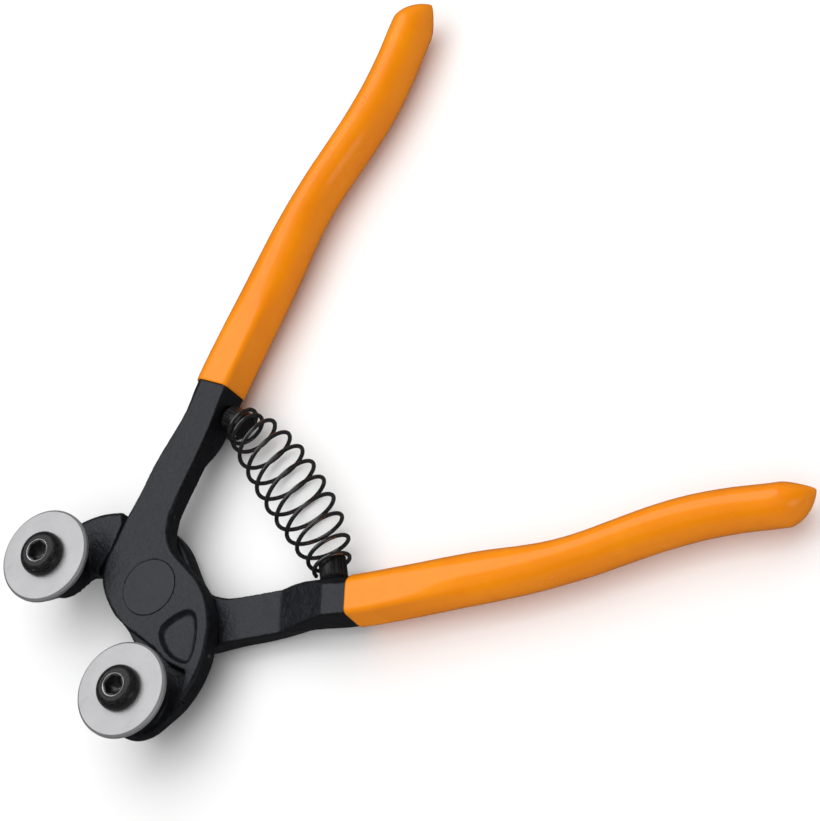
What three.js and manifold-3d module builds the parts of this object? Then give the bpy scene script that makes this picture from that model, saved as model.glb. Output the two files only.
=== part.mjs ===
// Wheeled glass nippers: two forged levers that cross on a flush rivet, a round carbide wheel
// screwed to each jaw, a barrel spring held on two studs, and dipped grips on the handles.
// Millimetres. The tool lies on its back: XY is the tool plane, +Y points to the jaws, +Z is the
// side with the screw heads. The origin is on the rivet's axis, at the levers' back face.
import * as THREE from 'three';
import { mergeVertices } from 'three/addons/utils/BufferGeometryUtils.js';
import Module from 'manifold-3d';

const wasm = await Module();
wasm.setup();

// ---- Driving dimensions ----
const THICKNESS = 10.5;                 // of the two lapped levers, and of each arm
const MID = THICKNESS / 2;
const GAP = 0.3;                        // left between pieces that touch
const LAP_FRONT = MID + GAP / 2;        // the front lever's lap face

const WHEEL_REACH = 26;                 // from the rivet's axis to a wheel's axis
const WHEEL_HALF_ANGLE = THREE.MathUtils.degToRad(53.4);   // with the tool sprung open
const WHEEL_X = WHEEL_REACH * Math.sin(WHEEL_HALF_ANGLE);
const WHEEL_Y = WHEEL_REACH * Math.cos(WHEEL_HALF_ANGLE);
const WHEEL_R = 11;
const WHEEL_THICK = 6;
const WHEEL_RIM = 0.8;                  // height of the ground cylindrical rim
const WHEEL_CHAMFER = 0.5;
const WHEEL_HUB_R = 7.4;                // where the back bevel ends
const BORE_R = 3.3;
const SEAT_Z = THICKNESS;               // both wheels sit at the front face's level
const WHEEL_BACK = SEAT_Z + GAP;
const WHEEL_FRONT = WHEEL_BACK + WHEEL_THICK;

const SCREW_R = 3;
const SCREW_HEAD_R = 5.25;
const SCREW_HEAD_H = 2.7;
const SCREW_CROWN_R = 3.1;              // flat top of the head, around the socket
const SCREW_HEAD_EDGE = 0.35;
const SOCKET_FLATS = 4;
const SOCKET_DEPTH = 2.2;

const SHOULDER_Z = 7.75;                // the jaw's face around the raised wheel seat
const SEAT_R = 6.5;
const PAD_R = 8.6;                      // the jaw's rounded end
const PLATE_CHAMFER = 0.6;
const REAR_JAW_CHAMFER = 0.9;
const REAR_PAD_BACK = 5.7;              // the rear jaw's back face at its end

const RECESS_DEPTH = 1.1;
const RECESS_DRAFT = 0.9;               // width of its sloping wall

const RIVET_R = 4.5;
const RIVET_HEAD_R = 6.4;
const RIVET_HEAD_H = 1.6;

const STUD_R = 3.1;
const STUD_LENGTH = 6.6;
const STUD_FOOT = 0.8;                  // keeps the stud's body off the sloping arm
const STUD_TIP_ROUND = 0.8;
const STUD_PIN_R = 2;
const STUD_PIN_LENGTH = 2.6;
const STUD_BASE = new THREE.Vector2(26.8, -35);
const STUD_TILT = THREE.MathUtils.degToRad(24);            // below the X axis

const WIRE_R = 0.48;
const SPRING_TURNS = 11;
const FRONT_CLOSED = { turns: 2, share: 0.09 };            // share of the spring's length
const REAR_CLOSED = { turns: 1, share: 0.055 };
const SPRING_END_R = 4.2;               // of the wire's centre line
const SPRING_MID_R = 7.05;
const SPRING_END_X = 23.6;
const SPRING_Y = -38.4;
const SPRING_BOW = 2;
const SPRING_LEAN_ACROSS = -0.08;       // how far the open turns lean along X
const SPRING_LEAN_RISE = -0.17;
const SWELL_START = 0.8;                // share of the closed turns that stays on the stud
const SWELL_POWER = 0.55;
const STEPS_PER_TURN = 14;

const GRIP_WALL = 1.1;
const TANG_CLEAR = 0.35;
const CAVITY_SPARE = 0.7;               // left in the grip beyond the tang's end
const TANG_ROOT = 2;                    // how far the tang runs into the arm

// ---- Booleans ----
function solid(geometry) {
  const plain = geometry.clone();
  plain.deleteAttribute('normal');
  plain.deleteAttribute('uv');
  const merged = mergeVertices(plain, 1e-5);
  return new wasm.Manifold(new wasm.Mesh({
    numProp: 3,
    vertProperties: new Float32Array(merged.attributes.position.array),
    triVerts: new Uint32Array(merged.index.array),
  }));
}

function geometryOf(body) {
  const mesh = body.getMesh();
  const geometry = new THREE.BufferGeometry();
  geometry.setAttribute('position', new THREE.BufferAttribute(mesh.vertProperties, 3));
  geometry.setIndex(new THREE.BufferAttribute(mesh.triVerts, 1));
  geometry.computeVertexNormals();
  return geometry;
}

// A closed outline raised between two heights, with its edges chamfered where asked.
function prism(shape, low, high, chamfer = 0, curveSegments = 6) {
  const geometry = new THREE.ExtrudeGeometry(shape, {
    depth: high - low - 2 * chamfer,
    bevelEnabled: chamfer > 0,
    bevelThickness: chamfer,
    bevelSize: chamfer,
    bevelOffset: -chamfer,
    bevelSegments: 1,
    curveSegments,
  });
  return solid(geometry.translate(0, 0, low + chamfer));
}

// A round body about a vertical axis at (x, y); the profile holds [radius, height] pairs.
function turned(profile, x, y, segments = 40) {
  const points = profile.map(([radius, height]) => new THREE.Vector2(radius, height));
  const geometry = new THREE.LatheGeometry(points, segments);
  return solid(geometry.rotateX(Math.PI / 2).translate(x, y, 0));
}

function disc(x, y, radius, low, high, segments = 40) {
  return turned([[0, low], [radius, low], [radius, high], [0, high]], x, y, segments);
}

function outline(points) {
  return new THREE.Shape(points.map(([x, y]) => new THREE.Vector2(x, y)));
}

// ---- The handle's centre line, shared by the arm, its tang and the grip ----
const handle = new THREE.CatmullRomCurve3([
  [15.2, -7.6], [21.4, -17.7], [27.7, -27.9], [34.2, -36.9], [41.0, -48.0], [46.3, -57.1],
  [50.4, -63.9], [54.6, -70.7], [57.8, -76.4], [61.0, -83.2], [63.9, -90.6], [66.9, -98.2],
  [70.7, -106.2], [75.3, -113.8], [79.9, -120.3], [83.0, -125.0], [84.8, -128.6],
].map(([x, y]) => new THREE.Vector3(x, y, MID)), false, 'centripetal');
const HANDLE_LENGTH = handle.getLength();
handle.arcLengthDivisions = 600;
handle.updateArcLengths();

const ARM_START = 2;                    // distances along the centre line
const MOUTH = 35.6;
const TANG_END = HANDLE_LENGTH - 9;
const GRIP_END = HANDLE_LENGTH;
// Sides and steps of the bodies bent onto the line.
const ARM_STEPS = 12;
const TANG_SIDES = 12;
const TANG_STEPS = 15;
const GRIP_SIDES = 18;
const GRIP_STEPS = 24;

// Place of a section point: t is across the handle, towards the other handle, and h is its height.
function handlePoint(distance, t, h) {
  const u = THREE.MathUtils.clamp(distance / HANDLE_LENGTH, 0, 1);
  const centre = handle.getPointAt(u);
  const along = handle.getTangentAt(u);
  return new THREE.Vector3(centre.x + along.y * t, centre.y - along.x * t, MID + h);
}

// A tube with flat ends whose section changes along the handle: a cylinder bent onto the line.
function loft(start, end, sides, steps, section) {
  const geometry = new THREE.CylinderGeometry(1, 1, 1, sides, steps);
  const position = geometry.attributes.position;
  for (let i = 0; i < position.count; i += 1) {
    const distance = THREE.MathUtils.lerp(start, end, 0.5 - position.getY(i));
    const onAxis = Math.hypot(position.getX(i), position.getZ(i)) < 0.5;
    const angle = Math.atan2(position.getX(i), position.getZ(i));
    const [t, h] = onAxis ? [0, 0] : section(distance, angle);
    const place = handlePoint(distance, t, h);
    position.setXYZ(i, place.x, place.y, place.z);
  }
  const body = solid(geometry);
  return body.volume() > 0 ? body : solid(flipped(geometry));
}

function flipped(geometry) {
  const index = geometry.index.array;
  for (let i = 0; i < index.length; i += 3) {
    [index[i], index[i + 1]] = [index[i + 1], index[i]];
  }
  return geometry;
}

// ---- Sections ----
// The arm is a bar whose back inner and front outer edges are bevelled more and more towards the
// grip. Its six corners are the corners of a hexagon that looks the same turned half round.
const BEVEL_START = 10;                 // distances along the centre line
const BEVEL_END = 34;
const ARM_HALF = [4.95, 4.6];           // each pair: before and after the bevels
const ARM_FLAT = [4.7, 2.4];            // half width of the flat beside the bevel
const ARM_BULGE = [0.15, 0.4];
const ARM_BREAK = [0.6, 2.6];           // height at which the bevel starts

function armCorners(distance) {
  const bevel = THREE.MathUtils.smoothstep(distance, BEVEL_START, BEVEL_END);
  const half = THREE.MathUtils.lerp(...ARM_HALF, bevel);
  const flat = THREE.MathUtils.lerp(...ARM_FLAT, bevel);
  const wide = half + THREE.MathUtils.lerp(...ARM_BULGE, bevel);
  const low = THREE.MathUtils.lerp(...ARM_BREAK, bevel);
  return [
    [half, MID], [wide, -low], [flat, -MID], [-half, -MID], [-wide, low], [-flat, MID],
  ];
}

function armSection(distance, angle) {
  const corner = Math.round(angle / (Math.PI / 3) + 6) % 6;
  return armCorners(distance)[corner];
}

// Distance from the centre to the edge of a convex polygon, in one direction.
function polygonReach(corners, angle) {
  const dx = Math.cos(angle);
  const dy = Math.sin(angle);
  let reach = Infinity;
  corners.forEach(([ax, ay], i) => {
    const [bx, by] = corners[(i + 1) % corners.length];
    const nx = ay - by;
    const ny = bx - ax;
    const facing = nx * dx + ny * dy;
    const offset = nx * ax + ny * ay;
    if (facing * offset > 0) reach = Math.min(reach, offset / facing);
  });
  return reach;
}

// The grip's half width and half height, as pairs: before its neck and after it.
const GRIP_WIDTHS = [5.6, 4.45];
const GRIP_HEIGHTS = [6.1, 6.35];
const NECK = [0.25, 0.5];               // shares of the grip's length
const PALM_SWELL = 0.2;
const PALM_CENTRE = 0.72;
const PALM_SPREAD = 0.12;
const GRIP_TAPER = 0.15;

function gripHalves(distance) {
  const s = (distance - MOUTH) / (GRIP_END - MOUTH);
  const neck = THREE.MathUtils.smoothstep(s, ...NECK);
  const swell = Math.exp(-(((s - PALM_CENTRE) / PALM_SPREAD) ** 2));
  return [
    THREE.MathUtils.lerp(...GRIP_WIDTHS, neck) + PALM_SWELL * swell,
    THREE.MathUtils.lerp(...GRIP_HEIGHTS, neck) - GRIP_TAPER * s,
  ];
}

const MOUTH_CORNERS = [
  [4.9, 5.95], [5.4, -2.8], [2.8, -5.95], [-4.9, -5.95], [-5.4, 2.8], [-2.8, 5.95],
];
const FACET_LIMIT = 1.22;               // of the facets' corners, against the oval
const FACET_FADE = [4, 30];             // distances from the mouth
const TIP_LENGTH = 7;                   // length over which the grip's end closes
const TIP_POWER = 1.5;
const TIP_SHARPNESS = 0.75;
const TIP_LEAST = 0.01;                 // keeps the last section from closing to a point
const TIP_SHIFT = 1.8;                  // of its point, towards the other handle
const LEAST_REACH = 0.05;

// Faceted at the mouth, oval further on, and closing to a blunt point at the tip.
function gripSection(distance, angle, inset) {
  const [halfWidth, halfHeight] = gripHalves(distance);
  const oval = 1 / Math.hypot(Math.cos(angle) / halfWidth, Math.sin(angle) / halfHeight);
  const faceted = Math.min(polygonReach(MOUTH_CORNERS, angle), oval * FACET_LIMIT);
  const blend = THREE.MathUtils.smoothstep(distance - MOUTH, ...FACET_FADE);
  const left = THREE.MathUtils.clamp((GRIP_END - distance) / TIP_LENGTH, 0, 1);
  const tip = Math.max(1 - (1 - left) ** TIP_POWER, TIP_LEAST) ** TIP_SHARPNESS;
  const reach = Math.max(THREE.MathUtils.lerp(faceted, oval, blend) * tip - inset, LEAST_REACH);
  return [reach * Math.cos(angle) + TIP_SHIFT * (1 - tip), reach * Math.sin(angle)];
}

// ---- Levers ----
// The throats, between the lapped plate and the wheel. The rear lever's is cut back further.
const FRONT_THROAT = [[-9.4, 10.3], [-12.2, 11.1], [-13.2, 13.3], [-13.5, 15.8], [-15.5, 20.4]];
const REAR_THROAT = [[-9.4, 10], [-14.3, 9.8], [-16, 11.6], [-15.5, 15], [-16.5, 19.8]];

// The lapped plate, its neck and its jaw, as one outline about the rivet (front lever).
function plateOutline(throat) {
  const shape = new THREE.Shape();
  shape.moveTo(26.5, -18.2);
  shape.lineTo(23.6, -12.3);
  shape.lineTo(19.2, -3.6);
  shape.splineThru([
    [15.7, 1.9], [13.5, 5.5], [10.1, 8.5], [5.6, 9.9], [0.5, 10.2], [-3.8, 10],
  ].map(([x, y]) => new THREE.Vector2(x, y)));
  const inner = throat.map(([x, y]) => new THREE.Vector2(x, y));
  shape.lineTo(inner[0].x, inner[0].y);
  shape.splineThru(inner.slice(1, 4));
  shape.lineTo(inner[4].x, inner[4].y);
  shape.lineTo(-18.2, 23.4);
  const tip = Math.atan2(23.7 - WHEEL_Y, -18.9 + WHEEL_X);
  shape.absarc(-WHEEL_X, WHEEL_Y, PAD_R, tip, Math.PI * 1.03, false);
  shape.splineThru([
    [-29.1, 8.4], [-27.3, 2.9], [-24.8, -1.2], [-22, -4.2], [-18, -7.3], [-13.4, -9.4],
    [-7.8, -10.4], [-2.9, -9.9], [1.5, -9.2], [5.2, -9.1], [8.9, -10.4], [12, -13],
  ].map(([x, y]) => new THREE.Vector2(x, y)));
  shape.lineTo(15.7, -18);
  shape.lineTo(19.7, -24.3);
  shape.closePath();
  return shape;
}

// The part of the jaw whose face is stepped down around the wheel's seat.
const STEP_LINE = [[3, 10.9], [-3.7, 9.3], [-8.3, 7.7], [-13.7, 6], [-18.4, 5.3], [-23.6, 2.6],
  [-25.4, 4.2], [-28.3, 6.9], [-34, 9]];

function jawRegion() {
  return outline([...STEP_LINE, [-34, 30], [3, 30]]);
}

// A slope that takes an arm from half thickness at the lap to full thickness near the grip.
const RAMP_START = 16;                  // distances along the handle's centre line
const RAMP_END = 29;
const CUT_REACH = 90;                   // further than any edge of a lever

// A long bar lying across a line: its side view is given as [distance along the line, height].
function crossBar(origin, along, sideView) {
  const shape = outline(sideView);
  const geometry = new THREE.ExtrudeGeometry(shape, {
    depth: 2 * CUT_REACH, bevelEnabled: false,
  });
  const place = new THREE.Matrix4().makeBasis(
    new THREE.Vector3(along.x, along.y, 0), new THREE.Vector3(0, 0, 1),
    new THREE.Vector3(along.y, -along.x, 0));
  place.setPosition(origin.x - along.y * CUT_REACH, origin.y + along.x * CUT_REACH, 0);
  return solid(geometry.applyMatrix4(place));
}

// Takes away the back half of the front lever's plate, and the slope after it.
function lapCut() {
  const near = handlePoint(RAMP_START, 0, 0);
  const far = handlePoint(RAMP_END, 0, 0);
  const along = new THREE.Vector2(far.x - near.x, far.y - near.y).normalize();
  return crossBar(near, along, [
    [-CUT_REACH, -1], [near.distanceTo(far), -1], [near.distanceTo(far), 0], [0, LAP_FRONT],
    [-CUT_REACH, LAP_FRONT],
  ]);
}

// What both forgings share, in the front lever's place: plate, arm, and the tang in the grip.
function leverBlank(throat) {
  const plate = prism(plateOutline(throat), LAP_FRONT, THICKNESS, PLATE_CHAMFER);
  const arm = loft(ARM_START, MOUTH - GAP, 6, ARM_STEPS, armSection).subtract(lapCut());
  const tang = loft(MOUTH - TANG_ROOT, TANG_END, TANG_SIDES, TANG_STEPS,
    (distance, angle) => gripSection(distance, angle, GRIP_WALL + TANG_CLEAR));
  return plate.add(arm).add(tang);
}

// Turned half round about the Y direction at mid height: the rear lever's place.
function turnedOver(body) {
  return body.translate([0, 0, -MID]).rotate([0, 180, 0]).translate([0, 0, MID]);
}

function studHole(side) {
  const hole = studBody(STUD_PIN_R + GAP, -STUD_PIN_LENGTH - GAP, 0.5);
  return side > 0 ? hole : mirrorToRear(hole);
}

function mirrorToRear(body) {
  return body.mirror([1, 0, 0]);
}

function rivetHole() {
  const r = RIVET_R + GAP;
  const head = RIVET_HEAD_R + GAP;
  return turned([[0, -1], [head, -1], [head, 0], [r, RIVET_HEAD_H], [r, THICKNESS - RIVET_HEAD_H],
    [head, THICKNESS], [head, THICKNESS + 1], [0, THICKNESS + 1]], 0, 0, 36);
}

// A pocket with a rounded D outline, sunk in the front lever's plate below the rivet.
function recess() {
  const shape = new THREE.Shape();
  const corners = [[-9.9, 0.6], [-11.1, 3.9], [-17.4, 4.6], [-22.4, 2.1], [-22.3, 0.1],
    [-18.4, -3.7], [-13.6, -6.3], [-10.9, -5]];
  const start = new THREE.Vector2(
    (corners[7][0] + corners[0][0]) / 2, (corners[7][1] + corners[0][1]) / 2);
  shape.moveTo(start.x, start.y);
  corners.forEach(([x, y], i) => {
    const next = corners[(i + 1) % corners.length];
    shape.quadraticCurveTo(x, y, (x + next[0]) / 2, (y + next[1]) / 2);
  });
  return prism(shape, THICKNESS - RECESS_DEPTH, THICKNESS + 2, RECESS_DRAFT, 3);
}

function wheelSeat(side, low) {
  const x = side * WHEEL_X;
  return disc(x, WHEEL_Y, SEAT_R, low, SEAT_Z, 32);
}

function screwHole(side) {
  return disc(side * WHEEL_X, WHEEL_Y, SCREW_R + GAP, -1, SEAT_Z + 1, 24);
}

function frontLever() {
  let lever = leverBlank(FRONT_THROAT);
  lever = lever.subtract(prism(jawRegion(), SHOULDER_Z, THICKNESS + 1));
  lever = lever.add(wheelSeat(-1, LAP_FRONT));
  return lever.subtract(recess()).subtract(rivetHole()).subtract(screwHole(-1))
    .subtract(studHole(1));
}

// The rear jaw starts at the back half's level and is set forward, so that both seats are level.
const REAR_BLOCK = [[16.9, 3.4], [20.5, -1.5], [34, -8], [34, 30], [3, 30], [10.9, 13.4],
  [14.2, 9.9]];

function rearJaw() {
  const jaw = prism(mirroredOutline(plateOutline(REAR_THROAT)), 0, SHOULDER_Z, REAR_JAW_CHAMFER);
  const block = prism(outline(REAR_BLOCK), 0, SHOULDER_Z);
  return jaw.intersect(block).add(wheelSeat(1, REAR_PAD_BACK)).subtract(backSlope());
}

// The rear jaw's back rises from the back face to the pad's back.
const SLOPE_START = 14;                 // distances from the rivet's axis
const SLOPE_END = 24;

function backSlope() {
  const towardsWheel = new THREE.Vector2(WHEEL_X, WHEEL_Y).normalize();
  return crossBar(new THREE.Vector2(0, 0), towardsWheel, [
    [SLOPE_START, -1], [CUT_REACH, -1], [CUT_REACH, REAR_PAD_BACK],
    [SLOPE_END, REAR_PAD_BACK], [SLOPE_START, 0],
  ]);
}

function mirroredOutline(shape) {
  return outline(shape.getPoints(6).map((point) => [-point.x, point.y]).reverse());
}

function rearLever() {
  const blank = turnedOver(leverBlank(REAR_THROAT));
  const lever = blank.subtract(backSlope()).add(rearJaw());
  return lever.subtract(rivetHole()).subtract(screwHole(1)).subtract(studHole(-1));
}

// ---- Small pieces ----
function rivet() {
  return turned([[0, 0], [RIVET_HEAD_R, 0], [RIVET_R, RIVET_HEAD_H],
    [RIVET_R, THICKNESS - RIVET_HEAD_H], [RIVET_HEAD_R, THICKNESS], [0, THICKNESS]], 0, 0, 36);
}

function wheel(side) {
  const rimBack = WHEEL_FRONT - WHEEL_CHAMFER - WHEEL_RIM;
  const front = WHEEL_FRONT;
  const edge = WHEEL_R - WHEEL_CHAMFER;
  return turned([[BORE_R, WHEEL_BACK], [WHEEL_HUB_R, WHEEL_BACK], [WHEEL_R, rimBack],
    [WHEEL_R, front - WHEEL_CHAMFER], [edge, front], [BORE_R, front], [BORE_R, WHEEL_BACK]],
  side * WHEEL_X, WHEEL_Y, 48);
}

function wheelScrew(side) {
  const x = side * WHEEL_X;
  const under = WHEEL_FRONT + GAP;
  const end = side < 0 ? LAP_FRONT : REAR_PAD_BACK;
  const dome = Array.from({ length: 5 }, (_, i) => {
    const a = (i / 4) * 0.5 * Math.PI;
    return [SCREW_CROWN_R + (SCREW_HEAD_R - SCREW_CROWN_R) * Math.cos(a),
      under + SCREW_HEAD_EDGE + (SCREW_HEAD_H - SCREW_HEAD_EDGE) * Math.sin(a)];
  });
  const body = turned([[0, end], [SCREW_R - 0.4, end], [SCREW_R, end + 0.5], [SCREW_R, under],
    [SCREW_HEAD_R, under], ...dome, [0, under + SCREW_HEAD_H]], x, WHEEL_Y, 30);
  const top = under + SCREW_HEAD_H;
  const socket = disc(x, WHEEL_Y, SOCKET_FLATS / Math.sqrt(3), top - SOCKET_DEPTH, top + 1, 6);
  return body.subtract(socket);
}

// A round body about the front stud's axis, which leaves the arm at STUD_BASE.
function studBody(radius, from, to, tipRound = 0) {
  const profile = [[0, from], [radius, from], [radius, to - tipRound]];
  if (tipRound > 0) profile.push([radius - tipRound * 0.35, to - tipRound * 0.3]);
  profile.push([Math.max(radius - tipRound, 0.5), to], [0, to]);
  const points = profile.map(([r, y]) => new THREE.Vector2(r, y));
  const geometry = new THREE.LatheGeometry(points, 20);
  const direction = new THREE.Vector3(-Math.cos(STUD_TILT), -Math.sin(STUD_TILT), 0);
  geometry.applyQuaternion(
    new THREE.Quaternion().setFromUnitVectors(new THREE.Vector3(0, 1, 0), direction));
  return solid(geometry.translate(STUD_BASE.x, STUD_BASE.y, MID));
}

function springStud(side) {
  const stud = studBody(STUD_R, STUD_FOOT, STUD_LENGTH, STUD_TIP_ROUND)
    .add(studBody(STUD_PIN_R, -STUD_PIN_LENGTH, 1));
  return side > 0 ? stud : mirrorToRear(stud);
}

// The wire's centre line: closed end turns, an open barrel between them, and a slight bow.
class SpringLine extends THREE.Curve {
  getPoint(u, target = new THREE.Vector3()) {
    const turn = u * SPRING_TURNS;
    const openTurns = SPRING_TURNS - FRONT_CLOSED.turns - REAR_CLOSED.turns;
    const openShare = 1 - FRONT_CLOSED.share - REAR_CLOSED.share;
    let along = FRONT_CLOSED.share + (openShare * (turn - FRONT_CLOSED.turns)) / openTurns;
    if (turn < FRONT_CLOSED.turns) along = (FRONT_CLOSED.share * turn) / FRONT_CLOSED.turns;
    if (turn > SPRING_TURNS - REAR_CLOSED.turns) {
      along = 1 - (REAR_CLOSED.share * (SPRING_TURNS - turn)) / REAR_CLOSED.turns;
    }
    const free = (along - SWELL_START * FRONT_CLOSED.share)
      / (1 - SWELL_START * (FRONT_CLOSED.share + REAR_CLOSED.share));
    const swell = Math.sin(Math.PI * THREE.MathUtils.clamp(free, 0, 1)) ** SWELL_POWER;
    const radius = THREE.MathUtils.lerp(SPRING_END_R, SPRING_MID_R, swell);
    const across = radius * Math.cos(-turn * 2 * Math.PI);
    const rise = radius * Math.sin(-turn * 2 * Math.PI);
    const lean = swell * (SPRING_LEAN_ACROSS * across + SPRING_LEAN_RISE * rise);
    const x = SPRING_END_X * (1 - 2 * along);
    const bow = SPRING_Y + SPRING_BOW * Math.abs(x / SPRING_END_X) ** 3;
    const tilt = Math.atan((3 * SPRING_BOW * x * Math.abs(x)) / SPRING_END_X ** 3);
    return target.set(
      x - across * Math.sin(tilt) + lean, bow + across * Math.cos(tilt), MID + rise);
  }
}

function returnSpring() {
  const section = new THREE.Shape();
  section.absarc(0, 0, WIRE_R, 0, 2 * Math.PI, false);
  const geometry = new THREE.ExtrudeGeometry(section, {
    extrudePath: new SpringLine(), steps: SPRING_TURNS * STEPS_PER_TURN, curveSegments: 3,
  });
  return solid(geometry);
}

function grip(side) {
  const outside = loft(MOUTH, GRIP_END, GRIP_SIDES, GRIP_STEPS,
    (distance, angle) => gripSection(distance, angle, 0));
  const inside = loft(MOUTH - 1, TANG_END + CAVITY_SPARE, TANG_SIDES, TANG_STEPS + 1,
    (distance, angle) => gripSection(distance, angle, GRIP_WALL));
  const sleeve = outside.subtract(inside);
  return side > 0 ? sleeve : turnedOver(sleeve);
}

// ---- Assembly ----
const finishes = {
  black: { color: 0x1d1e21, roughness: 0.55, metalness: 0.6 },
  carbide: { color: 0xc9c9cc, roughness: 0.3, metalness: 1 },
  screw: { color: 0x18181b, roughness: 0.4, metalness: 0.8 },
  wire: { color: 0x101012, roughness: 0.25, metalness: 0.8 },
  orange: { color: 0xf58a07, roughness: 0.25, metalness: 0 },
};

const group = new THREE.Group();

function addPart(name, body, finish) {
  const mesh = new THREE.Mesh(
    geometryOf(body), new THREE.MeshStandardMaterial(finishes[finish]));
  mesh.name = name;
  group.add(mesh);
}

addPart('front_lever', frontLever(), 'black');
addPart('rear_lever', rearLever(), 'black');
addPart('pivot_rivet', rivet(), 'black');
addPart('return_spring', returnSpring(), 'wire');
for (const [side, lever] of [[-1, 'front'], [1, 'rear']]) {
  addPart(`${lever}_wheel`, wheel(side), 'carbide');
  addPart(`${lever}_wheel_screw`, wheelScrew(side), 'screw');
  addPart(`${lever}_spring_stud`, springStud(-side), 'black');
  addPart(`${lever}_grip`, grip(-side), 'orange');
}

export default group;
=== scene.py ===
"""Looks of the wheeled glass nippers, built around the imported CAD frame.

Pieces are worked out in millimetres and scaled by MM. The stage is in metres.
"""
import math

import bpy
import numpy as np
from mathutils import Matrix, Vector


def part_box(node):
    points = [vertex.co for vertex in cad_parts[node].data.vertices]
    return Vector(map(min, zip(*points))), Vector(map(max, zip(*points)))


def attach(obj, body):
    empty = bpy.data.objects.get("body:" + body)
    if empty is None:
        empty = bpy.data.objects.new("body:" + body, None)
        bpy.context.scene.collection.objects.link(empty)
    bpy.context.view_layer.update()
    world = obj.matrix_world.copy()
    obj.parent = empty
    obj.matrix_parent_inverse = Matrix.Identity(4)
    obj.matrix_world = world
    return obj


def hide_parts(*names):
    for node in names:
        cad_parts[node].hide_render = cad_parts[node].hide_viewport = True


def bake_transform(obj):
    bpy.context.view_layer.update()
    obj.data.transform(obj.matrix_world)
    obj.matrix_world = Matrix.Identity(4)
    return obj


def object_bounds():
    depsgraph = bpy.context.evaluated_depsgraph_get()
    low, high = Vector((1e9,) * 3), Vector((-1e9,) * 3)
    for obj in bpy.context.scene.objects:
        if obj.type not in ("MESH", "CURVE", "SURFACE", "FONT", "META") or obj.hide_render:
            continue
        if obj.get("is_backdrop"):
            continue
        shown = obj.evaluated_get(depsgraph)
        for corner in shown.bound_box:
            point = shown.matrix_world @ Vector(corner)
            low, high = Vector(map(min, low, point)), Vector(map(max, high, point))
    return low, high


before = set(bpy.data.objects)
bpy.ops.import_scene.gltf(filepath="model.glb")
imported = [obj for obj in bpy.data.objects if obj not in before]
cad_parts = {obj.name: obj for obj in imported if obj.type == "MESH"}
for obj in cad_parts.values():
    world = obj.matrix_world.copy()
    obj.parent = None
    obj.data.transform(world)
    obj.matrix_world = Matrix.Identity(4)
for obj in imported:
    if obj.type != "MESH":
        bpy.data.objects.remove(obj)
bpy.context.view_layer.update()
MM = 0.001

# ---- Dimensions shared with the CAD part, in millimetres ----
THICKNESS = 10.5
MID = THICKNESS / 2
MOUTH = 35.6
TIP_LENGTH = 7.0
TIP_POWER = 1.5
TIP_SHARPNESS = 0.75
TIP_SHIFT = 1.8
WHEEL_R = 11.0
WHEEL_FRONT = 16.8
WHEEL_BACK = 10.8
WHEEL_RIM = 0.8
WHEEL_HUB_R = 7.4
WHEEL_EDGE = 0.5                        # chamfer round the face
BORE_R = 3.3
SCREW_HEAD_R = 5.25
SCREW_HEAD_H = 2.7
SCREW_UNDER = 17.1                      # height of the head's underside
SCREW_SHANK_R = 3.0
SOCKET_FLATS = 4.0
SOCKET_DEPTH = 2.2
STUD_BASE = (26.8, -35.0)
STUD_TILT = math.radians(24)
STUD_R = 3.1
STUD_LENGTH = 6.6
STUD_PIN_R = 2.0
RIVET_HEAD_R = 6.58                     # fills its countersink more closely than in the CAD
RIVET_SHANK_R = 4.5
RIVET_TAPER = 1.6
WIRE_R = 0.48
SPRING_TURNS = 11
FRONT_CLOSED = (2, 0.09)                # turns, and their share of the spring's length
REAR_CLOSED = (1, 0.055)
SPRING_END_R = 4.2
SPRING_MID_R = 7.05
SPRING_END_X = 23.6
SPRING_Y = -38.4
SPRING_BOW = 2.0
SPRING_LEAN = (-0.08, -0.17)            # along X, for a turn's offset across and upwards
SWELL_START = 0.8
SWELL_POWER = 0.55
HANDLE_POINTS = (
    (15.2, -7.6), (21.4, -17.7), (27.7, -27.9), (34.2, -36.9), (41.0, -48.0), (46.3, -57.1),
    (50.4, -63.9), (54.6, -70.7), (57.8, -76.4), (61.0, -83.2), (63.9, -90.6), (66.9, -98.2),
    (70.7, -106.2), (75.3, -113.8), (79.9, -120.3), (83.0, -125.0), (84.8, -128.6),
)


def centre_of(node):
    """Middle of a CAD node's box, in metres."""
    low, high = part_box(node)
    return (low + high) / 2


# ---- Node graph helpers ----
MIX_COLOURS_IN = (6, 7)                 # a Mix node's colour sockets, which share their names
MIX_COLOUR_OUT = 2                      # with its number and vector sockets


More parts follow.
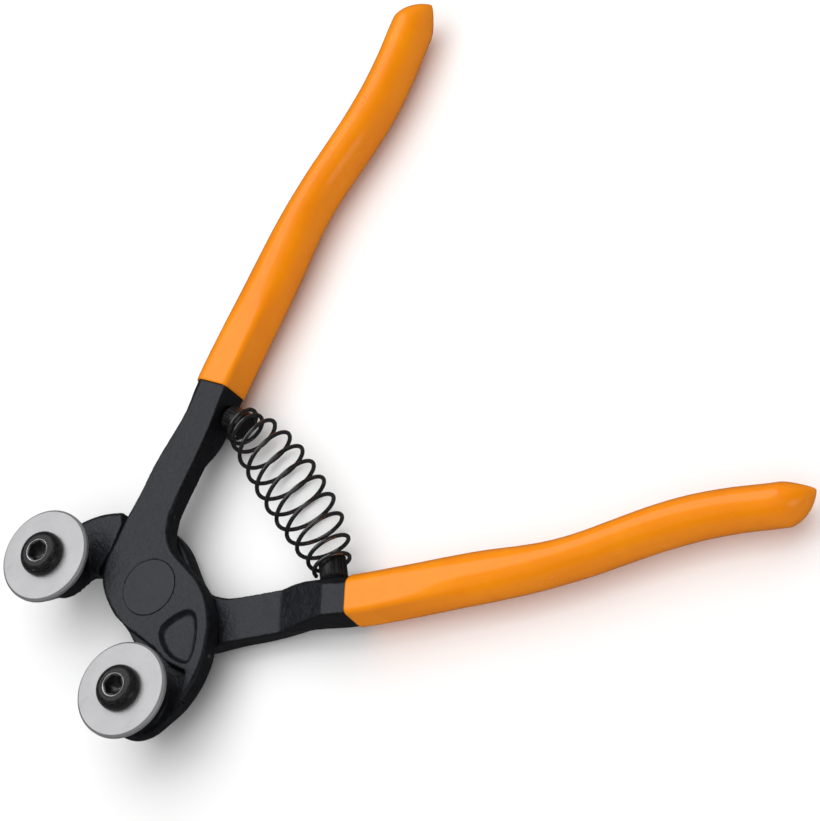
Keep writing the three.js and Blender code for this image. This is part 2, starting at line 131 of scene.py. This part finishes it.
class Graph:
    """A material's nodes, with values and links given by socket name."""

    def __init__(self, name):
        self.material = bpy.data.materials.new(name)
        self.material.use_nodes = True
        self.tree = self.material.node_tree
        self.shader = self.tree.nodes["Principled BSDF"]
        self.coords = self.add("ShaderNodeTexCoord").outputs["Object"]

    def add(self, kind):
        return self.tree.nodes.new(kind)

    def put(self, node, socket, value):
        """Give a socket a link or a value. Sockets that share a name are given by index."""
        if isinstance(value, bpy.types.NodeSocket):
            self.tree.links.new(value, node.inputs[socket])
        else:
            node.inputs[socket].default_value = value

    def noise(self, scale, detail=3.0, rough=0.55, coords=None):
        made = self.add("ShaderNodeTexNoise")
        self.put(made, "Vector", coords or self.coords)
        self.put(made, "Scale", scale)
        self.put(made, "Detail", detail)
        self.put(made, "Roughness", rough)
        return made.outputs["Fac"]

    def stretched(self, scale):
        made = self.add("ShaderNodeMapping")
        self.put(made, "Vector", self.coords)
        self.put(made, "Scale", scale)
        return made.outputs["Vector"]

    def span(self, value, low, high, to_low, to_high):
        made = self.add("ShaderNodeMapRange")
        for socket, number in (("Value", value), ("From Min", low), ("From Max", high),
                               ("To Min", to_low), ("To Max", to_high)):
            self.put(made, socket, number)
        return made.outputs["Result"]

    def mix(self, factor, first, second):
        made = self.add("ShaderNodeMix")
        made.data_type = "RGBA"
        self.put(made, "Factor", factor)
        for index, value in zip(MIX_COLOURS_IN, (first, second)):
            self.put(made, index, (*value, 1.0) if isinstance(value, tuple) else value)
        return made.outputs[MIX_COLOUR_OUT]

    def product(self, first, second):
        made = self.add("ShaderNodeMath")
        made.operation = "MULTIPLY"
        self.put(made, 0, first)
        self.put(made, 1, second)
        return made.outputs[0]

    def bump(self, layers):
        """layers holds (height, strength, distance in millimetres), coarsest first."""
        normal = None
        for height, strength, distance in layers:
            made = self.add("ShaderNodeBump")
            self.put(made, "Height", height)
            self.put(made, "Strength", strength)
            self.put(made, "Distance", distance * MM)
            if normal is not None:
                self.put(made, "Normal", normal)
            normal = made.outputs["Normal"]
        self.put(self.shader, "Normal", normal)

    def edges(self, low, high):
        """1 along convex edges, 0 elsewhere."""
        pointiness = self.add("ShaderNodeNewGeometry").outputs["Pointiness"]
        return self.span(pointiness, low, high, 0.0, 1.0)

    def set(self, **values):
        """Shader sockets by name, in lower case with underscores."""
        for key, value in values.items():
            socket = key.replace("_", " ").title().replace("Ior", "IOR")
            self.put(self.shader, socket, value)


def black_steel(name, grain=1.0, edge_wear_and_highlight=0.5):
    """Satin black coating over a shot-blasted forging, with convex edges lightened as wear and as
    a painted edge highlight.
    """
    g = Graph(name)
    fine = g.noise(3200.0, 4.0, 0.65)
    pits = g.noise(1100.0, 3.0, 0.6)
    patches = g.noise(130.0, 4.0, 0.6)
    mottle = g.noise(620.0, 4.0, 0.7)
    tone = g.mix(g.span(mottle, 0.3, 0.7, 0.0, 1.0),
                 (0.0025, 0.0025, 0.003), (0.009, 0.0095, 0.012))
    speck = g.mix(g.span(fine, 0.5, 0.8, 0.0, 0.5), tone, (0.022, 0.0225, 0.027))
    # The edge mask below lightens convex edges towards grey (0.16). This is partly wear and partly
    # a painted highlight where the edges would catch the light.
    rubbed = g.product(g.edges(0.54, 0.62), g.span(pits, 0.35, 0.6, 0.2 * edge_wear_and_highlight, edge_wear_and_highlight))
    g.set(base_color=g.mix(rubbed, speck, (0.16, 0.16, 0.165)),
          roughness=g.span(mottle, 0.3, 0.7, 0.28, 0.44), metallic=0.0)
    g.put(g.shader, "Specular IOR Level", 0.75)
    g.put(g.shader, "Specular Tint", (0.88, 0.91, 1.0, 1.0))
    g.bump([(patches, 0.3 * grain, 0.15), (mottle, 0.9 * grain, 0.2), (pits, 1.0 * grain, 0.14),
            (fine, 0.8 * grain, 0.04)])
    return g.material


def ground_carbide():
    """Face-ground sintered carbide: fine rings from the grinding wheel over a satin grain."""
    g = Graph("ground_carbide")
    radius = g.add("ShaderNodeVectorMath")
    radius.operation = "LENGTH"
    g.put(radius, 0, g.stretched((1.0, 1.0, 0.0)))
    outwards = g.add("ShaderNodeCombineXYZ")
    g.put(outwards, "X", radius.outputs["Value"])
    rings = g.noise(5200.0, 4.0, 0.7, outwards.outputs["Vector"])
    grain = g.noise(4200.0, 3.0, 0.6)
    patches = g.noise(170.0, 3.0, 0.6)
    smear = g.noise(420.0, 4.0, 0.6, g.stretched((1.0, 0.35, 1.0)))
    tone = g.mix(g.span(patches, 0.3, 0.7, 0.0, 1.0), (0.58, 0.58, 0.592), (0.65, 0.65, 0.66))
    tone = g.mix(g.span(rings, 0.3, 0.75, 0.0, 0.35), tone, (0.48, 0.48, 0.49))
    tone = g.mix(g.span(smear, 0.58, 0.8, 0.0, 0.4), tone, (0.44, 0.44, 0.45))
    g.set(base_color=tone, metallic=0.75, roughness=g.span(grain, 0.3, 0.7, 0.34, 0.46))
    g.bump([(smear, 0.12, 0.03), (grain, 0.3, 0.006)])
    return g.material


def black_oxide(name, streaks):
    """Blackened machine steel, with turning marks stretched along or round the piece."""
    g = Graph(name)
    turning = g.noise(900.0, 4.0, 0.7, g.stretched(streaks))
    fine = g.noise(3600.0, 3.0, 0.6)
    patches = g.noise(260.0, 3.0, 0.6)
    tone = g.mix(g.span(patches, 0.3, 0.7, 0.0, 1.0),
                 (0.003, 0.003, 0.0035), (0.007, 0.007, 0.008))
    tone = g.mix(g.span(turning, 0.42, 0.62, 0.0, 0.7), tone, (0.024, 0.0235, 0.025))
    worn = g.product(g.edges(0.54, 0.62), g.span(fine, 0.3, 0.6, 0.2, 0.6))
    g.set(base_color=g.mix(worn, tone, (0.22, 0.22, 0.22)), metallic=0.0,
          roughness=g.span(turning, 0.3, 0.7, 0.22, 0.38))
    g.bump([(turning, 0.5, 0.04), (fine, 0.25, 0.008)])
    return g.material


def bright_steel():
    """The rubbed lip of a socket."""
    g = Graph("bright_steel")
    fine = g.noise(4000.0, 3.0, 0.6)
    rubbed = g.noise(700.0, 2.0, 0.5)
    g.set(base_color=g.mix(g.span(rubbed, 0.42, 0.58, 0.0, 1.0), (0.50, 0.50, 0.51),
                           (0.80, 0.80, 0.81)),
          metallic=1.0, roughness=g.span(fine, 0.3, 0.7, 0.25, 0.42))
    g.bump([(fine, 0.2, 0.008)])
    return g.material


def enamelled_wire():
    """Glossy black enamel on drawn wire."""
    g = Graph("enamelled_wire")
    fine = g.noise(3000.0, 3.0, 0.6)
    patches = g.noise(320.0, 3.0, 0.6)
    g.set(base_color=g.mix(g.span(patches, 0.35, 0.7, 0.0, 1.0), (0.008, 0.008, 0.009),
                           (0.018, 0.018, 0.020)),
          metallic=0.0, roughness=g.span(patches, 0.3, 0.7, 0.16, 0.28), coat_weight=1.0,
          coat_roughness=0.08, coat_ior=2.0)
    g.bump([(patches, 0.15, 0.03), (fine, 0.15, 0.006)])
    return g.material


def dipped_vinyl():
    """Glossy orange vinyl, thicker and thinner in slow waves, with fine orange peel."""
    g = Graph("dipped_vinyl")
    peel = g.noise(1500.0, 2.0, 0.5)
    waves = g.noise(170.0, 2.0, 0.5)
    cloud = g.noise(70.0, 3.0, 0.6)
    scuffs = g.noise(520.0, 5.0, 0.75, g.stretched((1.0, 0.25, 1.0)))
    tone = g.mix(g.span(cloud, 0.3, 0.7, 0.0, 1.0), (0.91, 0.255, 0.002), (0.96, 0.295, 0.003))
    tone = g.mix(g.span(waves, 0.35, 0.7, 0.0, 0.25), tone, (0.86, 0.215, 0.003))
    g.set(base_color=tone, metallic=0.0,
          roughness=g.span(scuffs, 0.45, 0.8, 0.24, 0.30), coat_weight=0.5, coat_roughness=0.09,
          subsurface_weight=0.06, subsurface_scale=0.002)
    g.put(g.shader, "Specular IOR Level", 0.3)
    g.put(g.shader, "Subsurface Radius", (1.0, 0.35, 0.1))
    g.bump([(waves, 0.02, 0.03), (peel, 0.03, 0.004)])
    return g.material


# ---- Mesh helpers ----
AXIS_R = 0.02                           # radius of the ring that closes a piece at its axis
EDGE_ROUND = 0.12
ROUND_STEPS = 5
ROUND_SHARE = 0.45                      # most of a side that one rounded corner takes


def mesh_object(name, points, faces, material, place=None):
    """A smooth-shaded object from points in millimetres."""
    data = bpy.data.meshes.new(name)
    data.from_pydata([tuple(p) for p in np.asarray(points, float) * MM], [], faces)
    data.materials.append(material)
    data.polygons.foreach_set("use_smooth", [True] * len(data.polygons))
    data.update()
    made = bpy.data.objects.new(name, data)
    bpy.context.scene.collection.objects.link(made)
    if place is not None:
        made.matrix_world = place
    return made


def ring_faces(rings, around):
    """Quads between consecutive rings of points, with a flat face closing each end."""
    faces = []
    for r in range(rings - 1):
        for i in range(around):
            j = (i + 1) % around
            faces.append((r * around + i, r * around + j,
                          (r + 1) * around + j, (r + 1) * around + i))
    faces.append(tuple(range(around))[::-1])
    base = (rings - 1) * around
    faces.append(tuple(range(base, base + around)))
    return faces


def rounded(profile, radius):
    """A polyline of (r, z) with its inner corners rounded by short arcs."""
    points = [np.array(p, float) for p in profile]
    out = [points[0]]
    for before, corner, after in zip(points, points[1:], points[2:]):
        inward, outward = before - corner, after - corner
        shorter = min(np.linalg.norm(inward), np.linalg.norm(outward))
        reach = min(radius, ROUND_SHARE * shorter)
        start = corner + inward / np.linalg.norm(inward) * reach
        end = corner + outward / np.linalg.norm(outward) * reach
        for t in np.linspace(0, 1, ROUND_STEPS + 1):
            out.append((1 - t) ** 2 * start + 2 * t * (1 - t) * corner + t ** 2 * end)
    out.append(points[-1])
    return out


def lathe(name, profile, material, place, around):
    """A body turned about its own Z axis. The profile runs from one end to the other."""
    angles = np.linspace(0, 2 * math.pi, around, endpoint=False)
    rings = [np.column_stack([r * np.cos(angles), r * np.sin(angles), np.full(around, z)])
             for r, z in profile]
    return mesh_object(name, np.vstack(rings), ring_faces(len(rings), around),
                       material, place)


# ---- The handle's centre line ----
def catmull_rom(points, samples_each=80):
    """Centripetal Catmull-Rom curve through the points, as dense samples."""
    points = [np.array(p, float) for p in points]
    ends = [2 * points[0] - points[1], *points, 2 * points[-1] - points[-2]]
    out = []
    for p0, p1, p2, p3 in zip(ends, ends[1:], ends[2:], ends[3:]):
        gaps = [np.linalg.norm(b - a) ** 0.5 for a, b in ((p0, p1), (p1, p2), (p2, p3))]
        t1 = (p1 - p0) / gaps[0] - (p2 - p0) / (gaps[0] + gaps[1]) + (p2 - p1) / gaps[1]
        t2 = (p2 - p1) / gaps[1] - (p3 - p1) / (gaps[1] + gaps[2]) + (p3 - p2) / gaps[2]
        t1, t2 = t1 * gaps[1], t2 * gaps[1]
        for s in np.linspace(0, 1, samples_each, endpoint=False):
            out.append(p1 + t1 * s + (3 * (p2 - p1) - 2 * t1 - t2) * s ** 2
                       + (2 * (p1 - p2) + t1 + t2) * s ** 3)
    out.append(points[-1])
    return np.array(out)


LINE = catmull_rom(HANDLE_POINTS)
STATIONS = np.concatenate([[0], np.cumsum(np.linalg.norm(np.diff(LINE, axis=0), axis=1))])
GRIP_END = STATIONS[-1]
DIRECTION_REACH = 0.4                   # a direction is taken between points this far each way


def line_point(distance):
    return np.array([np.interp(distance, STATIONS, LINE[:, k]) for k in (0, 1)])


def handle_frame(distance):
    """Point on the centre line and the direction along it."""
    along = line_point(distance + DIRECTION_REACH) - line_point(distance - DIRECTION_REACH)
    return line_point(distance), along / np.linalg.norm(along)


def smoothstep(value, low, high):
    t = np.clip((value - low) / (high - low), 0, 1)
    return t * t * (3 - 2 * t)


# ---- Grips ----
MOUTH_CORNERS = np.array([(4.9, 5.95), (5.4, -2.8), (2.8, -5.95), (-4.9, -5.95), (-5.4, 2.8),
                          (-2.8, 5.95)])
MOUTH_ROUND = 7.0                       # sharpness of the facets' edges: higher is sharper
FACETS_FADE = (4, 30)                   # distances past the mouth
GRIP_LIP = ((-0.3, 0.85), (-0.62, 0.62), (-0.78, 0.40), (-0.80, 0.22), (-0.66, 0.08),
            (-0.35, 0.01), (0.2, 0.0))  # distance past the mouth, and inset from the outside
HALF_WIDTHS = (5.6, 4.45)               # at the mouth, and past the neck
HALF_HEIGHTS = (6.1, 6.35)
HEIGHT_FALL = 0.15                      # over the whole length
NECK = (0.25, 0.5)                      # shares of the length
PALM_SWELL = 0.2
PALM_AT = 0.72
PALM_REACH = 0.12
FACET_LIMIT = 1.22                      # of the oval
TIP_LEAST = 0.0004
GRIP_AROUND = 96
GRIP_RINGS = 150
TIP_RINGS = 30


def faceted_reach(angles):
    """Distance to the mouth's polygon, with its edges softened by a smooth minimum."""
    total = np.zeros_like(angles)
    for (ax, ay), (bx, by) in zip(MOUTH_CORNERS, np.roll(MOUTH_CORNERS, -1, axis=0)):
        nx, ny = ay - by, bx - ax
        facing = nx * np.cos(angles) + ny * np.sin(angles)
        offset = nx * ax + ny * ay
        share = np.where(facing * offset > 0, facing / offset, 0)
        total += share ** (2 * MOUTH_ROUND)
    return total ** (-1 / (2 * MOUTH_ROUND))


def grip_section(distance, angles, inset):
    """Outline across the handle: offsets to its side and upwards."""
    s = (distance - MOUTH) / (GRIP_END - MOUTH)
    neck = smoothstep(s, *NECK)
    palm = PALM_SWELL * math.exp(-(((s - PALM_AT) / PALM_REACH) ** 2))
    half_width = HALF_WIDTHS[0] + (HALF_WIDTHS[1] - HALF_WIDTHS[0]) * neck + palm
    half_height = HALF_HEIGHTS[0] + (HALF_HEIGHTS[1] - HALF_HEIGHTS[0]) * neck - HEIGHT_FALL * s
    oval = 1 / np.hypot(np.cos(angles) / half_width, np.sin(angles) / half_height)
    faceted = np.minimum(faceted_reach(angles), oval * FACET_LIMIT)
    blend = smoothstep(distance - MOUTH, *FACETS_FADE)
    left = min(max((GRIP_END - distance) / TIP_LENGTH, 0), 1)
    tip = max(1 - (1 - left) ** TIP_POWER, TIP_LEAST) ** TIP_SHARPNESS
    reach = np.maximum((faceted + (oval - faceted) * blend) * tip - inset, AXIS_R)
    return reach * np.cos(angles) + TIP_SHIFT * (1 - tip), reach * np.sin(angles)


def grip(name, body, material, turned_over):
    """Dipped sleeve along the handle. turned_over makes the other handle's."""
    angles = np.linspace(0, 2 * math.pi, GRIP_AROUND, endpoint=False)
    stations = [(MOUTH + d, inset) for d, inset in GRIP_LIP]
    body_end = GRIP_END - TIP_LENGTH
    stations += [(d, 0.0) for d in np.linspace(stations[-1][0], body_end, GRIP_RINGS)[1:]]
    closing = np.sin(np.linspace(0, math.pi / 2, TIP_RINGS)[1:])
    stations += [(body_end + TIP_LENGTH * c, 0.0) for c in closing]
    rings = []
    for distance, inset in stations:
        point, along = handle_frame(distance)
        t, h = grip_section(max(distance, MOUTH - 1), angles, inset)
        rings.append(np.column_stack([point[0] + along[1] * t, point[1] - along[0] * t, MID + h]))
    points = np.vstack(rings)
    if turned_over:
        points = points * (-1, 1, -1) + (0, 0, THICKNESS)
    faces = ring_faces(len(rings), GRIP_AROUND)
    made = mesh_object(name, points, faces, material)
    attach(made, body)
    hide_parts(name.replace("_sleeve", "_grip"))
    return made


# ---- Wheels, screws, studs and rivet ----
def turned_piece(name, node, body, profile, material, place, around):
    made = lathe(name, profile, material, place, around)
    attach(made, body)
    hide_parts(node)
    return made


def wheel(side, body, material):
    centre = centre_of(f"{side}_wheel")
    base = Matrix.Translation((centre.x, centre.y, 0))
    rim_front = WHEEL_FRONT - WHEEL_EDGE
    profile = rounded([(BORE_R, WHEEL_BACK), (WHEEL_HUB_R, WHEEL_BACK),
                       (WHEEL_R, rim_front - WHEEL_RIM), (WHEEL_R, rim_front),
                       (WHEEL_R - WHEEL_EDGE, WHEEL_FRONT), (BORE_R, WHEEL_FRONT)], EDGE_ROUND)
    return turned_piece(f"{side}_carbide_wheel", f"{side}_wheel", body, profile, material, base,
                        256)


def hexagon_reach(angles, flats):
    """Distance from the centre to a hexagon's side."""
    turned = np.mod(angles + math.pi / 6, math.pi / 3) - math.pi / 6
    return flats / 2 / np.cos(turned)


# The button head's top, as (radius, depth below the top): the socket's lip is rubbed bright.
BRIGHT_LIP = ((2.48, 0.08), (2.55, 0.01), (2.69, 0.0))
LIP_OUTSIDE = ((2.78, 0.01), (2.95, 0.05))
CROWN_R = 3.1
CROWN_DROP = 0.08
CROWN_FOOT = 0.34                       # height of the crown's outer edge on the head
CROWN_POWER = 0.9


def screw(side, body, black, bright, clocking):
    """Button head with a hexagon socket."""
    centre = centre_of(f"{side}_wheel_screw")
    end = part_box(f"{side}_wheel_screw")[0].z / MM
    around = 192
    angles = np.linspace(0, 2 * math.pi, around, endpoint=False)
    hexagon = hexagon_reach(angles, SOCKET_FLATS)
    top = SCREW_UNDER + SCREW_HEAD_H
    floor = top - SOCKET_DEPTH
    circle = np.ones(around)
    # From the drill point below the socket, up its walls and over the rounded head.
    rings = [(AXIS_R * circle, floor - 0.9), (0.5 * hexagon, floor - 0.45),
             (0.94 * hexagon, floor), (hexagon, floor + 0.12), (hexagon, top - 0.30),
             (1.02 * hexagon, top - 0.16)]
    first_bright = len(rings) - 1
    rings += [(radius * circle, top - depth) for radius, depth in BRIGHT_LIP]
    last_bright = len(rings) - 1
    rings += [(radius * circle, top - depth) for radius, depth in LIP_OUTSIDE]
    crown_h = SCREW_HEAD_H - CROWN_DROP - CROWN_FOOT
    for a in np.linspace(math.pi / 2, 0, 26):
        radius = CROWN_R + (SCREW_HEAD_R - CROWN_R) * math.cos(a) ** CROWN_POWER
        rings.append((radius * circle, SCREW_UNDER + CROWN_FOOT + crown_h * math.sin(a)))
    # The head's rim, the collar that reaches down to the wheel, and the shank.
    under = SCREW_UNDER - 0.28
    rings += [(SCREW_HEAD_R * circle, SCREW_UNDER + 0.2),
              ((SCREW_HEAD_R - 0.07) * circle, SCREW_UNDER + 0.03),
              ((SCREW_HEAD_R - 0.25) * circle, under), (SCREW_SHANK_R * circle, under),
              (SCREW_SHANK_R * circle, end + 0.5), ((SCREW_SHANK_R - 0.4) * circle, end),
              (AXIS_R * circle, end)]
    points = np.vstack([np.column_stack([r * np.cos(angles), r * np.sin(angles),
                                         np.full(around, z)]) for r, z in rings])
    faces = ring_faces(len(rings), around)
    place = Matrix.Translation((centre.x, centre.y, 0)) @ Matrix.Rotation(clocking, 4, "Z")
    made = mesh_object(f"{side}_button_screw", points, faces, black, place)
    made.data.materials.append(bright)
    for face in made.data.polygons[first_bright * around:last_bright * around]:
        face.material_index = 1
    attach(made, body)
    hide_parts(f"{side}_wheel_screw")
    return made


DOME_HEIGHT = 1.1


def stud(side, body, material):
    """Domed stud whose axis leaves the arm at STUD_BASE."""
    sign = 1 if side == "front" else -1
    direction = Vector((-sign * math.cos(STUD_TILT), -math.sin(STUD_TILT), 0))
    base = Vector((sign * STUD_BASE[0], STUD_BASE[1], MID)) * MM
    place = Matrix.Translation(base) @ direction.to_track_quat("Z", "Y").to_matrix().to_4x4()
    dome_foot = STUD_LENGTH - DOME_HEIGHT
    dome = [(STUD_R * math.cos(a), dome_foot + DOME_HEIGHT * math.sin(a))
            for a in np.linspace(0.12, math.pi / 2 - 0.02, 14)]
    profile = [(STUD_PIN_R, -2.6), (STUD_PIN_R, 0.2), (2.75, 0.5), (STUD_R, 0.95),
               (STUD_R, dome_foot - 0.1), *dome]
    return turned_piece(f"{side}_domed_stud", f"{side}_spring_stud", body, profile, material,
                        place, 96)


def rivet(material):
    """Flush at both ends, where it fills the levers' countersinks."""
    centre = centre_of("pivot_rivet")
    place = Matrix.Translation((centre.x, centre.y, 0))
    end_centre = 0.6
    profile = rounded([(end_centre, 0), (RIVET_HEAD_R, 0), (RIVET_SHANK_R, RIVET_TAPER),
                       (RIVET_SHANK_R, THICKNESS - RIVET_TAPER), (RIVET_HEAD_R, THICKNESS),
                       (end_centre, THICKNESS)], EDGE_ROUND)
    return turned_piece("flush_rivet", "pivot_rivet", "front_body", profile, material, place,
                        128)


# ---- Return spring ----
def spring_line(turn):
    """Centre line point and its share of the way from the front stud to the rear stud."""
    (front_turns, front_share), (rear_turns, rear_share) = FRONT_CLOSED, REAR_CLOSED
    along = np.interp(turn, (0, front_turns, SPRING_TURNS - rear_turns, SPRING_TURNS),
                      (0, front_share, 1 - rear_share, 1))
    free = (along - SWELL_START * front_share) / (1 - SWELL_START * (front_share + rear_share))
    swell = math.sin(math.pi * min(max(free, 0), 1)) ** SWELL_POWER
    radius = SPRING_END_R + (SPRING_MID_R - SPRING_END_R) * swell
    across = radius * math.cos(-turn * 2 * math.pi)
    rise = radius * math.sin(-turn * 2 * math.pi)
    lean = swell * (SPRING_LEAN[0] * across + SPRING_LEAN[1] * rise)
    x = SPRING_END_X * (1 - 2 * along)
    bow = SPRING_Y + SPRING_BOW * abs(x / SPRING_END_X) ** 3
    tilt = math.atan(3 * SPRING_BOW * x * abs(x) / SPRING_END_X ** 3)
    return (x - across * math.sin(tilt) + lean, bow + across * math.cos(tilt), MID + rise), along


STEPS_PER_TURN = 64
WIRE_AROUND = 14


def spring(material):
    steps = SPRING_TURNS * STEPS_PER_TURN
    line = [spring_line(k / STEPS_PER_TURN) for k in range(steps + 1)]
    centre = np.array([p for p, _ in line])
    tangent = np.gradient(centre, axis=0)
    tangent /= np.linalg.norm(tangent, axis=1)[:, None]
    outward = centre - np.array([[x, SPRING_Y, MID] for x, _, _ in centre])
    side = np.cross(tangent, outward)
    side /= np.linalg.norm(side, axis=1)[:, None]
    up = np.cross(side, tangent)
    angles = np.linspace(0, 2 * math.pi, WIRE_AROUND, endpoint=False)
    rings = [c + WIRE_R * (np.outer(np.cos(angles), a) + np.outer(np.sin(angles), b))
             for c, a, b in zip(centre, side, up)]
    made = mesh_object("coil_spring", np.vstack(rings), ring_faces(len(rings), WIRE_AROUND),
                       material)
    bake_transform(made)
    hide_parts("return_spring")
    return made


# ---- Levers: the CAD nodes, with the soft edges and uneven skin of a forging ----
VOXEL = 0.3
WELD_REACH = 1e-6                       # metres
SOFTENING = (0.5, 5)                    # factor and rounds
SKIN_GRAIN = 4.5
SKIN_DEPTH = 0.12


def forged(node, material):
    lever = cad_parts[node]
    lever.data.materials.clear()
    lever.data.materials.append(material)
    weld = lever.modifiers.new("weld", "WELD")
    weld.merge_threshold = WELD_REACH
    remesh = lever.modifiers.new("remesh", "REMESH")
    remesh.mode = "VOXEL"
    remesh.voxel_size = VOXEL * MM
    remesh.use_smooth_shade = True
    soften = lever.modifiers.new("soften", "SMOOTH")
    soften.factor, soften.iterations = SOFTENING
    skin = bpy.data.textures.new(f"{node}_skin", "CLOUDS")
    skin.noise_scale = SKIN_GRAIN * MM
    skin.noise_depth = 2
    uneven = lever.modifiers.new("uneven", "DISPLACE")
    uneven.texture = skin
    uneven.texture_coords = "LOCAL"
    uneven.strength = SKIN_DEPTH * MM
    uneven.mid_level = 0.5


# ---- Assembly ----
STEEL = black_steel("black_steel")
RIVET_STEEL = black_steel("rivet_steel", grain=0.6, edge_wear_and_highlight=0.0)
CARBIDE = ground_carbide()
SCREW_BLACK = black_oxide("black_oxide", (1.0, 1.0, 6.0))
STUD_BLACK = black_oxide("stud_oxide", (3.0, 3.0, 0.15))
BRIGHT = bright_steel()
VINYL = dipped_vinyl()

forged("front_lever", STEEL)
forged("rear_lever", STEEL)
rivet(RIVET_STEEL)
spring(enamelled_wire())
wheel("front", "front_wheel_body", CARBIDE)
wheel("rear", "rear_wheel_body", CARBIDE)
screw("front", "front_body", SCREW_BLACK, BRIGHT, math.radians(12))
screw("rear", "rear_body", SCREW_BLACK, BRIGHT, math.radians(47))
stud("front", "front_body", STUD_BLACK)
stud("rear", "rear_body", STUD_BLACK)
grip("front_sleeve", "front_body", VINYL, False)
grip("rear_sleeve", "rear_body", VINYL, True)


# ---- Stage, in metres ----
FLOOR_HALF = 6.0
FLOOR_GAP = 0.0004
AIM = Vector((0.0, -0.045, 0.005))      # middle of the tool


def floor():
    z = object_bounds()[0][2] - FLOOR_GAP
    sides = ((-1, -1), (1, -1), (1, 1), (-1, 1))
    corners = [(x * FLOOR_HALF, y * FLOOR_HALF, z) for x, y in sides]
    data = bpy.data.meshes.new("floor")
    data.from_pydata(corners, [], [(0, 1, 2, 3)])
    made = bpy.data.objects.new("floor", data)
    bpy.context.scene.collection.objects.link(made)
    g = Graph("pale_floor")
    cloud = g.noise(9.0, 3.0, 0.5)
    g.set(base_color=g.mix(cloud, (0.93, 0.93, 0.93), (0.95, 0.95, 0.95)), roughness=0.5,
          metallic=0.0)
    data.materials.append(g.material)
    made.visible_glossy = False
    made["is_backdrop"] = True


def area_light(name, place, size, power):
    """A soft box turned towards the tool."""
    data = bpy.data.lights.new(name, "AREA")
    data.shape = "RECTANGLE"
    data.size, data.size_y = size
    data.energy = power
    made = bpy.data.objects.new(name, data)
    made.location = place
    made.rotation_euler = (AIM - place).to_track_quat("-Z", "Y").to_euler()
    bpy.context.scene.collection.objects.link(made)
    return made


floor()
# The camera's own directions, in the part's frame: right, up and back towards the viewer.
RIGHT = Vector((-0.467, -0.772, -0.431)).normalized()
BACK = Vector((-0.576, -0.104, 0.811)).normalized()
UP = BACK.cross(RIGHT).normalized()
RIGHT = UP.cross(BACK)
CAMERA_PLACE = Vector((-385.7, -139.1, 542.9)) * MM
SENSOR = 36.0
LENS = 131.7


def from_camera(right, up, back):
    """A place given in the camera's directions, in metres from the middle of the tool."""
    return AIM + RIGHT * right + UP * up + BACK * back


camera_data = bpy.data.cameras.new("camera")
camera_data.sensor_fit = "HORIZONTAL"
camera_data.sensor_width = SENSOR
camera_data.lens = LENS
camera_data.clip_start = 0.01
camera = bpy.data.objects.new("camera", camera_data)
camera.matrix_world = Matrix.Translation(CAMERA_PLACE) @ Matrix(
    (RIGHT, UP, BACK)).transposed().to_4x4()
bpy.context.scene.collection.objects.link(camera)
bpy.context.scene.camera = camera

area_light("key", from_camera(-0.68, 0.66, 0.42), (1.3, 1.0), 4.3)
area_light("fill", from_camera(0.75, -0.35, 0.75), (0.5, 0.5), 0.7)
for name, place, power in (("wash", (-0.5, 0.3, 1.5), 31.0), ("wash_low", (0.9, -0.9, 1.2), 19.0)):
    area_light(name, AIM + Vector(place), (2.6, 2.6), power).visible_glossy = False
world = bpy.data.worlds.new("studio")
bpy.context.scene.world = world
world.use_nodes = True
background = world.node_tree.nodes["Background"]
background.inputs["Color"].default_value = (1.0, 1.0, 1.0, 1.0)
background.inputs["Strength"].default_value = 0.05
bpy.context.scene.view_settings.view_transform = "Standard"
